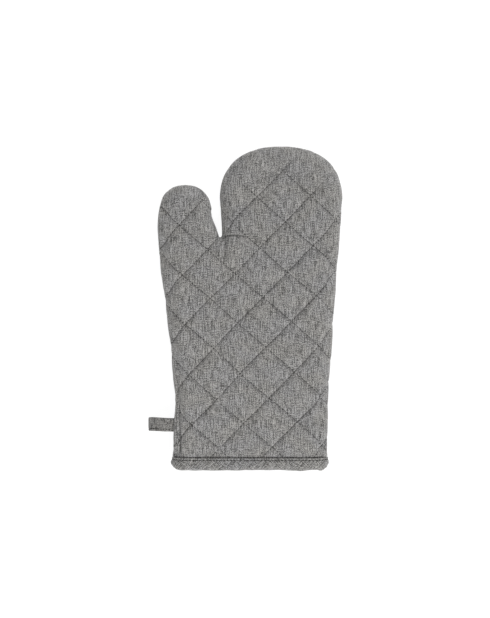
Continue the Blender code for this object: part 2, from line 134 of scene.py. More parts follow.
# Creases that the sewing pulls: width, depth and path in plan.
CREASES = [
    (1.2, 3.2, [(-21.1, 69.4), (-19.5, 61.0), (-20.3, 51.0), (-22.4, 43.0)]),
    (1.1, 2.6, [(-22.0, 70.8), (-10.0, 71.6), (2.0, 70.8)]),
    (1.1, 3.6, [(-68.0, -66.0), (-67.0, -98.0), (-65.9, -122.0), (-64.9, -145.0), (-64.5, -185.0)]),
    (1.1, 2.4, [(76.6, -76.0), (75.0, -100.0), (74.5, -125.0), (74.3, -150.0), (74.3, -190.0)]),
]

# Cuff binding.
BINDING_TOP = -146.6
BINDING_INNER_TOP = -147.0
BINDING_STITCH_Y = -148.1
BINDING_GROOVE_Y = -146.2  # where the panel sinks against the binding's upper edge
PINCH_START = -137.0
PINCH_END = -146.0
PINCH = 0.88  # share of the thickness left under the binding
CORNER_START = -147.5  # from here down, the cuff's corners are rounded
BINDING_HALF = 0.45  # half the strip's thickness
BINDING_EDGE = 0.35  # how far its two edges are rounded
BINDING_THREAD = 1.35  # times the quilting's thread
INSIDE_SHIFT = 40.0  # of the weave on the strip's inner face

# Hanging loop.
LOOP_LOW, LOOP_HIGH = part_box("hanging_loop")
LOOP_WIDTH = (LOOP_HIGH.y - LOOP_LOW.y) / MM
LOOP_Y = (LOOP_HIGH.y + LOOP_LOW.y) / 2 / MM
LOOP_SEWN_IN = 9.0
TAPE_HALF = 0.6  # half the tape's thickness
TAPE_COLUMNS = 22  # of points across each face
TAPE_ROW = -0.66  # the stitches' place across the tape, from -1 to 1
TAPE_STITCH = {"pitch": 2.9, "length": 2.1, "thread": 1.3}
UNDERSIDE_SHIFT = 30.0  # of the weave on the tape's lower face

REGIONS = ("palm", "thumb", "fingers")
JOINTS = {joint["name"]: joint for joint in frame["joints"]}


# ---- numbers that repeat ----


@functools.lru_cache(maxsize=None)
def noise_table(seed):
    return np.random.default_rng(seed).uniform(-1, 1, (256, 256))


def noise(x, y, seed):
    """Smooth value noise from -1 to 1 with a unit cell."""
    table = noise_table(seed)
    x, y = np.asarray(x, float), np.asarray(y, float)
    column, row = np.floor(x).astype(int), np.floor(y).astype(int)
    u, v = x - column, y - row
    u, v = u * u * (3 - 2 * u), v * v * (3 - 2 * v)
    low, high = (table[(row + k) % 256, column % 256] * (1 - u)
                 + table[(row + k) % 256, (column + 1) % 256] * u for k in (0, 1))
    return low * (1 - v) + high * v


def smoothstep(value, start, end):
    t = np.clip((value - start) / (end - start), 0, 1)
    return t * t * (3 - 2 * t)


def unit(vectors):
    return vectors / np.maximum(norm(vectors, axis=-1, keepdims=True), 1e-12)


def turned_left(vectors):
    """Each vector in a plane, a quarter turn on."""
    return np.stack([-vectors[..., 1], vectors[..., 0]], axis=-1)


def lengths_along(path):
    """How far each point lies along a path."""
    return np.concatenate([[0.0], np.cumsum(norm(np.diff(path, axis=0), axis=1))])


def resampled(wanted, marks, path, period=None):
    """The path where its marks reach the wanted values."""
    return np.stack([np.interp(wanted, marks, path[:, k], period=period) for k in (0, 1)], axis=-1)


# ---- seam line in plan ----


def round_end(centre, half_width, height):
    """Left to right over the tip of a superellipse."""
    angles = np.radians(180 - 15.0 * np.arange(13))
    across = np.copysign(np.abs(np.cos(angles)) ** (2 / END_POWER), np.cos(angles))
    up = np.abs(np.sin(angles)) ** (2 / END_POWER)
    return [(centre[0] + half_width * a, centre[1] + height * u) for a, u in zip(across, up)]


def between(t, start, end, a, b):
    return ((end - t) * a + (t - start) * b) / (end - start)


def smooth_curve(points, per_span=24):
    """A centripetal Catmull-Rom curve through the points."""
    points = np.array(points, float)
    padded = np.vstack([2 * points[0] - points[1], points, 2 * points[-1] - points[-2]])
    curve = []
    for span in range(len(points) - 1):
        four = padded[span:span + 4]
        gaps = np.sqrt(norm(np.diff(four, axis=0), axis=1))
        knots = np.concatenate([[0.0], np.cumsum(gaps)])
        t = (knots[1] + (knots[2] - knots[1]) * np.arange(per_span) / per_span)[:, None]
        one = [between(t, knots[k], knots[k + 1], four[k], four[k + 1]) for k in range(3)]
        two = [between(t, knots[k], knots[k + 2], one[k], one[k + 1]) for k in range(2)]
        curve.append(between(t, knots[1], knots[2], *two))
    return np.vstack([*curve, points[-1]])


def seam_line(step, turn=8.0):
    """Points and inward normals along the seam line, closer together where it turns."""
    ends = round_end(**THUMB_END), round_end(**FINGER_END)
    curve = smooth_curve([*LEFT_SIDE, *ends[0], *CROTCH, *ends[1], *RIGHT_SIDE])
    runs = np.diff(curve, axis=0)
    headings = np.unwrap(np.arctan2(runs[:, 1], runs[:, 0]))
    turns = np.degrees(np.abs(np.diff(headings, append=headings[-1])))
    marks = np.concatenate([[0.0], np.cumsum(norm(runs, axis=1) / step + turns / turn)])
    points = resampled(np.linspace(0, marks[-1], int(marks[-1]) + 1), marks, curve)
    along = unit(np.gradient(points, axis=0))
    for _ in range(2):
        along[1:-1] = unit(along[:-2] + 2 * along[1:-1] + along[2:])
    normals = -turned_left(along)
    normals[0], normals[-1] = (1, 0), (-1, 0)
    return points, normals


def inside_polygon(points, polygon):
    inside = np.zeros(len(points), bool)
    for a, b in zip(polygon, np.roll(polygon, -1, axis=0)):
        if a[1] == b[1]:
            continue
        spans = (a[1] > points[:, 1]) != (b[1] > points[:, 1])
        cross = a[0] + (points[:, 1] - a[1]) * (b[0] - a[0]) / (b[1] - a[1])
        inside ^= spans & (points[:, 0] < cross)
    return inside


# ---- one panel as a sheet ----


class Cut:
    """A panel's faces, and for each point its place in plan and height on the plain outer face, the way
    out there, its place on the flat-cut cloth, the way inward from the seam, the length of roll that is
    left further in, and how open the cloth is to roll: 0 at the crotch and 1 away from it."""

    def __init__(self, step, rows):
        self.seam, self.normals = seam_line(SEAM_STEP, SEAM_TURN)
        points, normals = seam_line(step)
        rings = [points + normals * EDGE_ROLL * (1 - math.cos(angle)) for angle in STRIP_ANGLES]
        count = len(points)
        starts = [i for i in range((len(rings) - 1) * count) if i % count < count - 1]
        self.faces = [(i, i + count, i + 1 + count, i + 1) for i in starts]
        middle = self.fill(rings[-1], (len(rings) - 1) * count, step, rows)
        self.plan = np.vstack([*rings, middle])
        inset, inward, foot = self.from_seam(self.plan)
        strips = len(rings) * count
        inset[:strips] = np.repeat(EDGE_ROLL * (1 - np.cos(STRIP_ANGLES)), count)
        inward[:strips], foot[:strips] = np.vstack([normals] * len(rings)), np.vstack([points] * len(rings))
        angle = np.arccos(np.clip(1 - inset / EDGE_ROLL, 0, 1))
        self.left = ROLL_LENGTH * (1 - angle / (math.pi / 2))
        self.inward = inward
        rolled = (inset < EDGE_ROLL)[:, None]
        self.flat = np.where(rolled, foot + inward * (EDGE_ROLL - self.left[:, None]), self.plan)
        self.open = smoothstep(norm(self.plan - CROTCH[1], axis=1), *CROTCH_SPREAD)
        self.flat = self.plan + (self.flat - self.plan) * self.open[:, None]
        self.height = HALF_THICKNESS * np.sin(angle)
        self.out = np.hstack([-inward * np.cos(angle)[:, None], np.sin(angle)[:, None]])

    def from_seam(self, places):
        """Signed inset from the seam line, the way in, and the nearest point of the line."""
        inset, inward, foot = [], [], []
        for chunk in np.array_split(places, len(places) // 2000 + 1):  # to save memory
            nearest = ((chunk[:, None] - self.seam[None]) ** 2).sum(2).argmin(1)
            point, normal = self.seam[nearest], self.normals[nearest]
            along = turned_left(normal)
            slide = np.clip(((chunk - point) * along).sum(1), -SEAM_STEP, SEAM_STEP)[:, None]
            point = point + along * slide
            gap = chunk - point
            side = np.sign((gap * normal).sum(1))
            far = norm(gap, axis=1)
            straight = gap * side[:, None] / far[:, None].clip(1e-6)
            inset.append(far * side)
            inward.append(np.where((far > 0.5)[:, None], straight, normal))
            foot.append(point)
        return np.concatenate(inset), unit(np.vstack(inward)), np.vstack(foot)

    def to_plan(self, flat):
        """Where places on the flat cut come to lie in plan, once the edge is rolled."""
        inset, inward, foot = self.from_seam(flat)
        angle = (1 - (EDGE_ROLL - inset) / ROLL_LENGTH) * math.pi / 2
        rolled = foot + inward * (EDGE_ROLL * (1 - np.cos(angle)))[:, None]
        plan = np.where((inset < EDGE_ROLL)[:, None], rolled, flat)
        return plan[angle > STRIP_ANGLES[-1]]

    def line_rows(self, pitch, offsets):
        """Points that run along the quilting and the creases, so that each groove is sharp."""
        rows = []
        places = np.arange(-LINE_REACH, LINE_REACH, pitch)[:, None]
        for angle, spacing in QUILT_FAMILIES:
            along, across = directions(angle)
            for number in LINE_NUMBERS:
                for offset in offsets:
                    line = QUILT_CROSSING + across * (spacing * number + offset) + along * places
                    rows.append(self.to_plan(line + bend(line)))
        for _, _, path in CREASES:
            path = smooth_curve(path)
            run = lengths_along(path)
            path = resampled(np.arange(0, run[-1], pitch), run, path)
            aside = turned_left(unit(np.gradient(path, axis=0)))
            rows += [path + aside * offset for offset in offsets]
        across = np.arange(LEFT_SIDE[0][0], RIGHT_SIDE[-1][0], pitch)
        for offset in offsets:
            rows.append(np.stack(np.broadcast_arrays(across, BINDING_GROOVE_Y + offset), axis=1))
        return np.vstack(rows)

    def fill(self, rim, first, step, rows):
        """Triangles inside the last strip, finer along the lines."""
        mouth = np.linspace(rim[-1], rim[0], int((rim[-1][0] - rim[0][0]) / step))[1:-1]
        polygon = np.vstack([rim, mouth])
        low, high = polygon.min(0), polygon.max(0)
        grid = [(x + j % 2 * step / 2, y)  # in staggered rows
                for j, y in enumerate(np.arange(low[1], high[1], step * 0.87))
                for x in np.arange(low[0], high[0], step)]
        lines = self.line_rows(**rows)
        places = np.vstack([lines, grid])
        rooms = np.where(np.arange(len(places)) < len(lines), ROW_ROOM * rows["pitch"], 0.6 * step)
        inside = inside_polygon(places, polygon)
        places = spread_out(polygon, places[inside], rooms[inside])
        corners = [Vector(p) for p in np.vstack([polygon, places])]
        made = geometry.delaunay_2d_cdt(corners, [], [list(range(len(polygon)))], 1, 1e-6)
        index, middle = {}, []
        for i, source in enumerate(made[3]):
            if source and source[0] < len(rim):
                index[i] = first + source[0]
            else:
                index[i] = first + len(rim) + len(middle)
                middle.append(tuple(made[0][i]))
        self.faces.extend(tuple(index[i] for i in triangle) for triangle in made[2])
        return np.array(middle)


def tree_of(points):
    tree = KDTree(len(points))
    for number, point in enumerate(points):
        tree.insert(point, number)
    tree.balance()
    return tree


def spread_out(polygon, places, rooms):
    """Drops places that crowd the rim or an earlier place."""
    spots = np.pad(np.vstack([polygon, places]), ((0, 0), (0, 1)))
    tree = tree_of(spots)
    first = len(polygon)
    taken = np.arange(len(spots)) < first
    for number, room in enumerate(rooms, first):
        taken[number] = not any(taken[near] for _, near, _ in tree.find_range(spots[number], room))
    return places[taken[first:]]


class Panel:
    """The outer face of the front or back panel, cut as a Cut says."""

    def __init__(self, cut, side):
        self.cut, self.side = cut, side
        self.faces = cut.faces if side > 0 else [face[::-1] for face in cut.faces]
        self.flat, self.plan = cut.flat, cut.plan
        self.roll = 1 - cut.height / HALF_THICKNESS  # 1 at the seam, 0 on the flat
        self.flatness = 1 - smoothstep(self.roll, 0.2, 0.6)

    def places(self, depth):
        """Where the panel's points lie at a depth, in metres."""
        at = np.hstack([self.cut.plan, self.cut.height[:, None]]) - self.cut.out * np.reshape(depth, (-1, 1))
        at[:, 2] = np.maximum(at[:, 2], LEAST_HEIGHT)
        sideways = norm(self.cut.out[:, :2], axis=1)
        at[:, 1] += corner_rise(sideways) * smoothstep(at[:, 1], CORNER_START, MOUTH_Y)
        at[:, 2] *= 1 - (1 - PINCH) * smoothstep(at[:, 1], PINCH_START, PINCH_END)
        at[:, 2] = HALF_THICKNESS + self.side * at[:, 2]
        return at * MM


# ---- relief ----


def directions(angle):
    """Unit vectors along and across a line at an angle in degrees."""
    along = np.array((math.cos(math.radians(angle)), math.sin(math.radians(angle))))
    return along, turned_left(along)


def bend(flat):
    """How far the quilting lines stray from straight."""
    x, y = flat[..., 0] / BEND_CELL, flat[..., 1] / BEND_CELL
    return BEND_REACH * np.stack([noise(x, y, 61), noise(x, y, 62)], axis=-1)


def line_distances(flat):
    """For each family: the distance to its nearest line, and the place along and across it."""
    found = []
    flat = flat - bend(flat) - QUILT_CROSSING
    for angle, spacing in QUILT_FAMILIES:
        along, across = directions(angle)
        offset = flat @ across
        distance = np.abs((offset / spacing + 0.5) % 1 - 0.5) * spacing
        found.append((distance, flat @ along, offset))
    return found


def fullness(flat):
    """From 0 on a quilting line to 1 in the middle of a diamond."""
    (first, *_), (second, *_) = line_distances(flat)
    full = (1 - np.exp(-first / QUILT_REACH)) * (1 - np.exp(-second / QUILT_REACH))
    return full / (1 - math.exp(-18 / QUILT_REACH)) ** 2


def slack_at_tip(flat):
    """From 0 to 1 where the quilting hardly shows, in the round end of the fingers."""
    across, up = ((flat - FINGER_END["centre"]) / (FINGER_END["half_width"], FINGER_END["height"])).T
    return smoothstep(np.hypot(across, up), 0.45, 0.75) * smoothstep(up, -0.1, 0.1)


def puckers(flat, seed):
    """Small gathers that run away from the quilting lines."""
    total = np.zeros(len(flat))
    for number, (distance, along, offset) in enumerate(line_distances(flat)):
        wave = noise(along / 3.4, offset / 9.0, seed + number)
        broad = noise(along / 8.0, offset / 14.0, seed + 5 + number)
        total += (0.30 * wave + 0.35 * broad) * np.exp(-distance / 5.0)
    return total


def creases(panel):
    """Depth of the creases, deepest in the middle of each, and of small pulls that fan from the crotch."""
    total = np.zeros(len(panel.plan))
    for width, depth, path in CREASES:
        path = smooth_curve(path)
        gaps = norm(panel.plan[:, None] - path[None], axis=2)
        place = gaps.argmin(1) / (len(path) - 1)
        shape = np.exp(-(gaps.min(1) / width) ** 1.5)
        fade = smoothstep(place, -0.2, 0.15) * (1 - smoothstep(place, 0.75, 1.0))
        total += depth * shape * fade
    x, y = panel.plan[:, 0] - CROTCH[1][0], panel.plan[:, 1] - CROTCH[1][1]
    fan = noise(np.degrees(np.arctan2(y, x)) / 14, 0, 71) * np.exp(-np.hypot(x, y) / 9)
    return total + 0.6 * fan * smoothstep(np.hypot(x, y), 2, 6)


def outer_depth(panel):
    """How far the shell lies inside the plain panel, with its quilting, gathers, creases and edges."""
    seed = 100 if panel.side > 0 else 300
    x, y = panel.flat[:, 0], panel.flat[:, 1]
    hold = (1 - 0.62 * smoothstep(panel.cut.left, 8, 20)) * (1 - 0.7 * slack_at_tip(panel.flat))
    lines = zip(PINCH_DEPTHS, line_distances(panel.flat))
    pinches = [deep * np.exp(-(distance / PINCH_REACH) ** 2) for deep, (distance, *_) in lines]
    quilted = QUILT_DEPTH * (1 - fullness(panel.flat)) + np.maximum(*pinches)
    broad = 0.6 * noise(x / 46, y / 52, seed + 20)
    broad += 0.35 * noise(x / 19, y / 23, seed + 21)
    fine = 0.08 * noise(x / 4.2, y / 5.0, seed + 22)
    fine += 0.14 * noise(x / 9, y / 8, seed + 23)
    edge = 0.16 * noise((x + y) / 7, (x - y) / 26, seed + 24) * smoothstep(panel.roll, 0.1, 0.8)
    bulge = -0.45 * np.exp(-((panel.roll - 0.72) / 0.18) ** 2) - 0.35 * (1 - panel.flatness)
    groove = 0.9 * smoothstep(panel.roll, 0.88, 1.0)
    relief = (quilted + puckers(panel.flat, seed)) * hold + fine + broad * panel.flatness
    relief += creases(panel) * (1.0 if panel.side > 0 else 0.7)
    if panel.side < 0:
        relief = np.maximum(relief, BACK_LEAST)
    under_binding = smoothstep(y, PINCH_START, PINCH_END)
    sunk = 0.75 * np.exp(-((y - BINDING_GROOVE_Y) / 0.9) ** 2) * panel.flatness
    relief = relief * (1 - under_binding) + 0.1 * under_binding + sunk
    return relief + (edge + bulge + groove) * panel.cut.open


def corner_rise(sideways):
    """How much shorter the mouth is where the panel faces sideways, which rounds the cuff's corners."""
    return 0.3 * sideways ** 2 + 3.0 * sideways ** 9


def inner_depth(panel, depth):
    """A depth inside the panel, squeezed along the quilting lines."""
    squeeze = 0.36 * (1 - fullness(panel.flat)) * (1 - 0.55 * smoothstep(panel.roll, 0.0, 0.75))
    return depth * (1 - squeeze) + 0.5 * QUILT_DEPTH * squeeze


# ---- meshes ----


def linked(name, data):
    made = bpy.data.objects.new(name, data)
    SCENE.collection.objects.link(made)
    return made


def new_object(name, verts, faces, uv=None):
    mesh = bpy.data.meshes.new(name)
    mesh.from_pydata(np.asarray(verts).tolist(), [], [list(map(int, face)) for face in faces])
    if uv is not None:
        layer = mesh.uv_layers.new(name="cloth")
        corners = np.empty(len(mesh.loops), int)
        mesh.loops.foreach_get("vertex_index", corners)
        layer.data.foreach_set("uv", np.asarray(uv, np.float32)[corners].ravel())
    mesh.shade_smooth()
    return linked(name, mesh)


def rim_edges(faces):
    """The directed edges that only one face uses."""
    used = dict.fromkeys((a, b) for face in faces for a, b in zip(face, (*face[1:], face[0])))
    return [(a, b) for a, b in used if (b, a) not in used]


def tube_faces(rounds, ring, closed=False):
    """Quads between the rings of a tube that is capped at its ends, or closed on itself."""
    faces = []
    for i in range(rounds if closed else rounds - 1):
        here, there = i * ring, (i + 1) % rounds * ring
        for k in range(ring):
            m = (k + 1) % ring
            faces.append((here + k, here + m, there + m, there + k))
    if not closed:
        faces.append(tuple(range(ring))[::-1])
        faces.append(tuple(range((rounds - 1) * ring, rounds * ring)))
    return faces


def closed_layer(name, panel, outer, inner):
    """A solid between two faces of the same panel."""
    count = len(outer)
    faces = list(panel.faces)
    faces += [tuple(i + count for i in face[::-1]) for face in panel.faces]
    faces += [(b, a, a + count, b + count) for a, b in rim_edges(panel.faces)]
    uv = (np.vstack([panel.flat, panel.flat]) + (0 if panel.side > 0 else BACK_WEAVE_SHIFT)) * MM
    return new_object(name, np.vstack([outer, inner]), faces, uv)


# ---- dividing at the folds ----


def fold_planes():
    """For the thumb and the fingers: the unit vector out of the palm and the blend's start and end."""
    planes = {}
    for region, joint in (("thumb", "thumb_fold"), ("fingers", "finger_fold")):
        axis, hinge = JOINTS[joint]["axis"], Vector(JOINTS[joint]["pos_m"])
        out = Vector((-axis[1], axis[0], 0.0))
        crotch = Vector((CROTCH[1][0] * MM, CROTCH[1][1] * MM, hinge.z))
        reach = (hinge - crotch).dot(out) - 0.9 * MM
        planes[region] = (out, hinge - out * reach, hinge + out * reach)
    return planes


FOLDS = fold_planes()


def thumb_side(x, y):
    """Whether a place in plan, in millimetres, lies on the thumb's side of the slit."""
    return x < CROTCH[1][0] - SLIT_LEAN * smoothstep(y, SLIT_LEAN_FROM, SLIT_LEAN_TO)


def region_of(point):
    """palm, thumb or fingers, by where a point lies."""
    region = "thumb" if thumb_side(point.x / MM, point.y / MM) else "fingers"
    out, start, _ = FOLDS[region]
    return region if (point - start).dot(out) > 0 else "palm"


def divide(whole):
    """Cuts a piece where the folds start, into palm, thumb and fingers, each closed again."""
    bm = bmesh.new()
    bm.from_mesh(whole.data)
    for region, (out, start, _) in FOLDS.items():
        near = [(f, f.calc_center_median()) for f in bm.faces]
        near = [(f, at / MM) for f, at in near if abs((at - start).dot(out)) < 0.01]
        faces = [f for f, at in near if thumb_side(at.x, at.y) == (region == "thumb")]
        edges = {e for f in faces for e in f.edges}
        verts = {v for f in faces for v in f.verts}
        bmesh.ops.bisect_plane(bm, geom=[*verts, *edges, *faces], plane_co=start, plane_no=out, dist=1e-7)
    bm.faces.index_update()
    regions = [region_of(face.calc_center_median()) for face in bm.faces]
    parts = {}
    for region in REGIONS:
        part = bm.copy()
        part.faces.ensure_lookup_table()
        unwanted = [part.faces[i] for i, owner in enumerate(regions) if owner != region]
        bmesh.ops.delete(part, geom=unwanted, context="FACES")
        bmesh.ops.holes_fill(part, edges=[edge for edge in part.edges if edge.is_boundary], sides=0)
        mesh = bpy.data.meshes.new(f"{region}_{whole.name}")
        part.to_mesh(mesh)
        part.free()
        mesh.shade_smooth()
        parts[region] = linked(mesh.name, mesh)
    bm.free()
    bpy.data.objects.remove(whole)
    return parts


def attach(parts, material, slot, nodes):
    """Gives each region's share its material, puts the palm's share on the palm's body and bakes the others
    in place, and hides the CAD nodes that it stands for.
    """
    for region, part in parts.items():
        part.data.materials.append(material)
        if region == "palm":
            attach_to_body(part, "palm")
        else:
            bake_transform(part)
        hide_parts(*nodes[region])


# ---- stitches ----


def stitch_mesh(rows, normals, radius):
    """Short tubes. rows holds each stitch's centre points, and normals the way that it arches."""
    rows = np.asarray(rows)
    steps, sides = rows.shape[1], 6
    along = unit(np.gradient(rows, axis=1))
    up = np.repeat(np.asarray(normals)[:, None], steps, axis=1)
    across = unit(np.cross(along, up))
    up = np.cross(across, along)
    taper = np.sqrt(np.clip(np.sin(np.pi * (np.arange(steps) + 0.35) / (steps - 0.3)), 0.06, 1))
    angles = 2 * np.pi * np.arange(sides) / sides
    ring = across[:, :, None] * np.cos(angles)[:, None] + up[:, :, None] * np.sin(angles)[:, None]
    verts = rows[:, :, None] + ring * (radius * taper)[None, :, None, None]
    verts = verts.reshape(-1, 3)
    one = tube_faces(steps, sides)
    firsts = range(0, len(verts), steps * sides)
    return verts, [tuple(first + i for i in face) for first in firsts for face in one]


def surface_finder(panel, verts, left_of_slit):
    """A function from a flat-cut place to the point and normal on the shell there."""
    faces = [face for face in panel.faces if thumb_side(*panel.plan[face[0]]) == left_of_slit]
    triangles = [(face[0], *face[k:k + 2]) for face in faces for k in range(1, len(face) - 1)]
    flat = [Vector((x, y, 0.0)) for x, y in panel.flat]
    points = [Vector(v) for v in verts]
    tree = BVHTree.FromPolygons(flat, triangles)
    down = Vector((0, 0, -1))

    def find(place):
        hit, _, index, _ = tree.ray_cast(Vector((place[0], place[1], 5.0)), down)
        if hit is None:
            return None
        before = [flat[i] for i in triangles[index]]
        a, b, c = [points[i] for i in triangles[index]]
        return geometry.barycentric_transform(hit, *before, a, b, c), (b - a).cross(c - a).normalized()

    return find


def quilt_stitches(panel, verts):
    """Each region's stitches along both families of lines, as centre points and normals."""
    found = {region: ([], []) for region in REGIONS}
    seed = np.random.default_rng(11 if panel.side > 0 else 12)
    finders = [surface_finder(panel, verts, left) for left in (True, False)]
    for (angle, spacing), lies in zip(QUILT_FAMILIES, THREAD_LIES):
        along, across = directions(angle)
        for number in LINE_NUMBERS:
            middle = QUILT_CROSSING + across * spacing * number
            shift = seed.uniform(0, STITCH_PITCH)
            for place in np.arange(-LINE_REACH + shift, LINE_REACH, STITCH_PITCH):
                length = STITCH_LENGTH * seed.uniform(0.9, 1.08)
                drift = across * seed.normal(0, 0.07)
                samples = middle + drift + along * (place + length * STITCH_STEPS[:, None])
                samples = samples + bend(samples)
                for find in finders:
                    hits = [find(sample) for sample in samples]
                    if all(hits):
                        add_stitch(found, hits, seed, lies + THREAD_SINKS * slack_at_tip(samples[2]))
    return found


def add_stitch(found, hits, seed, sunk):
    """Files one stitch under its region, unless it falls in the seam, jumps or meets the binding."""
    points = np.array([hit[0] for hit in hits])
    normal = unit(np.sum([np.array(hit[1]) for hit in hits], axis=0))
    far = norm(points[-1] - points[0])
    in_seam = abs(points[2, 2] / MM - HALF_THICKNESS) < 4.5
    if in_seam or not 1.2 * MM < far < 3.4 * MM or points[2, 1] / MM < BINDING_TOP + 0.8:
        return
    centres, normals = found[region_of(Vector(points[2]))]
    centres.append(points + normal * (ARCH * seed.uniform(0.8, 1.15) - sunk)[:, None])
    normals.append(normal)


# ---- materials ----


class Nodes:
    """Short names for building a node tree."""

    def __init__(self, name):
        self.material = bpy.data.materials.new(name)
        self.material.use_nodes = True
        self.tree = self.material.node_tree

    def feed(self, node, inputs):
        for key, value in inputs.items():
            if isinstance(value, bpy.types.NodeSocket):
                self.tree.links.new(value, node.inputs[key])
            else:
                node.inputs[key].default_value = value

    def add(self, kind, inputs, **settings):
        node = self.tree.nodes.new(kind)
        for key, value in settings.items():
            setattr(node, key, value)
        self.feed(node, inputs)
        return node.outputs[0]

    def math(self, operation, a, b=0.0, c=0.0):
        return self.add("ShaderNodeMath", {0: a, 1: b, 2: c}, operation=operation)

    def noise(self, place, x, y, shift=0.0, detail=1.0):
        """Noise in cells of x by y millimetres."""
        inputs = {"Vector": place, "Location": (shift, shift * 0.7, 0), "Scale": (1000 / x, 1000 / y, 1)}
        inputs = {"Vector": self.add("ShaderNodeMapping", inputs), "Scale": 1.0, "Detail": detail}
        return self.add("ShaderNodeTexNoise", inputs, noise_dimensions="2D")

    def ramp(self, factor, *stops):
        colour = self.add("ShaderNodeValToRGB", {0: factor})
        elements = colour.node.color_ramp.elements
        while len(elements) < len(stops):
            elements.new(0.5)
        for element, (place, shade) in zip(elements, stops):
            element.position, element.color = place, (*shade, 1.0)
        return colour

    def bump(self, strength, distance, height):
        inputs = {"Strength": strength, "Distance": distance, "Height": height}
        return self.add("ShaderNodeBump", inputs)

    def surface(self, inputs):
        """Feeds the shader, and gives the finished material."""
        self.feed(self.tree.nodes["Principled BSDF"], inputs)
        return self.material


def chambray(name, dark, light, turn=0.0, tint=1.0):
    """Plain weave of dark and light yarns with slubs both ways."""
    nodes = Nodes(name)
    uv = nodes.add("ShaderNodeUVMap", {}, uv_map="cloth")
    if turn:
        uv = nodes.add("ShaderNodeMapping", {"Vector": uv, "Rotation": (0, 0, turn)})
    warp = nodes.noise(uv, 0.5, 7.0)
    weft = nodes.noise(uv, 5.0, 0.5, shift=31.0)
    slub_up = nodes.noise(uv, 0.75, 12.0, shift=57.0)
    slub_across = nodes.noise(uv, 8.0, 0.75, shift=83.0)
    pepper = nodes.noise(uv, 0.8, 0.9, shift=5.0, detail=0.0)
    patches = nodes.noise(uv, 26.0, 22.0, shift=12.0, detail=2.0)
    places = nodes.add("ShaderNodeSeparateXYZ", {0: uv}).node.outputs
    across, up = (nodes.math("SINE", nodes.math("MULTIPLY", places[k], math.pi / YARN)) for k in (0, 1))
    crossing = nodes.math("MULTIPLY", across, up)
    over = nodes.add("ShaderNodeClamp", {0: nodes.math("MULTIPLY_ADD", crossing, 0.9, 0.5)})
    yarn = nodes.add("ShaderNodeMix", {0: over, 2: warp, 3: weft})
    tone = nodes.math("MULTIPLY_ADD", yarn, 0.9, slub_up)
    tone = nodes.math("MULTIPLY_ADD", slub_across, 0.6, tone)
    tone = nodes.math("MULTIPLY_ADD", pepper, 1.1, tone)
    tone = nodes.math("MULTIPLY_ADD", tone, 1.05, -1.41)
    middle = tuple((d + l) * 0.5 for d, l in zip(dark, light))
    colour = nodes.ramp(tone, (0.22, dark), (0.5, middle), (0.80, light))
    warmth = nodes.ramp(patches, (0.35, (0.985, 0.982, 1.0)), (0.65, (1.0, 0.985, 0.965)))
    mix = {0: tint, 6: colour, 7: warmth}
    colour = nodes.add("ShaderNodeMix", mix, data_type="RGBA", blend_type="MULTIPLY").node.outputs[2]
    ridge = nodes.math("MULTIPLY_ADD", nodes.math("ABSOLUTE", crossing), 0.5, tone)
    return nodes.surface({
        "Base Color": colour,
        "Normal": nodes.bump(0.55, 0.00022, ridge),
        "Roughness": nodes.math("MULTIPLY_ADD", tone, -0.15, 0.97),
        "Sheen Weight": 0.3,
        "Sheen Roughness": 0.5,
        "Specular IOR Level": 0.2,
    })


def fibre(name, scale, turn, detail, stops, bump, shader):
    """Twisted or tangled fibres, in the piece's own coordinates."""
    nodes = Nodes(name)
    place = nodes.add("ShaderNodeTexCoord", {}).node.outputs["Object"]
    place = nodes.add("ShaderNodeMapping", {"Vector": place, "Rotation": turn, "Scale": scale})
    strands = nodes.add("ShaderNodeTexNoise", {"Vector": place, "Scale": 1.0, "Detail": detail})
    looks = {"Base Color": nodes.ramp(strands, *stops), "Normal": nodes.bump(*bump, strands)}
    return nodes.surface({**looks, **shader})


YARN = 0.42 * MM
SHELL_CLOTH = chambray("chambray_shell", (0.056, 0.055, 0.053), (0.350, 0.347, 0.339))
BINDING_CLOTH = chambray("chambray_bias", (0.036, 0.035, 0.034), (0.334, 0.332, 0.324), turn=math.radians(45))
TAPE_CLOTH = chambray("chambray_tape", (0.046, 0.045, 0.043), (0.312, 0.308, 0.300))
LINING_CLOTH = chambray("lining_cotton", (0.30, 0.30, 0.295), (0.46, 0.455, 0.44), tint=0.6)
WADDING = fibre("wadding_fibre", (260, 260, 260), (0, 0, 0), 6.0,
                [(0.35, (0.66, 0.65, 0.61)), (0.65, (0.86, 0.85, 0.81))],
                (0.6, 0.0006), {"Roughness": 1.0})
THREAD = fibre("thread_twist", (2600, 900, 2600), (0.4, 0.3, 0.7), 1.0,
               [(0.3, (0.012, 0.012, 0.011)), (0.7, (0.048, 0.046, 0.043))],
               (0.5, 0.0001), {"Roughness": 0.8, "Specular IOR Level": 0.25})


# ---- panels ----


def node_names(suffix):
    return {region: [f"{region}_{suffix}"] for region in REGIONS}


def declare_cloth(parts, panel, depth):
    """Works out each region's share of a layer and its size as cut, in metres, but keeps none of it."""
    owners = np.array([region_of(Vector((x, y, 0)) * MM) for x, y in panel.plan])
    cut = (panel.flat + panel.cut.inward * panel.cut.left[:, None] * depth / EDGE_ROLL) * MM
    for region, part in parts.items():
        flat = tuple(map(float, np.ptp(cut[owners == region], axis=0)))
        for face in panel.faces:
            if owners[face[0]] == region:
                x, y = cut[list(face)].T


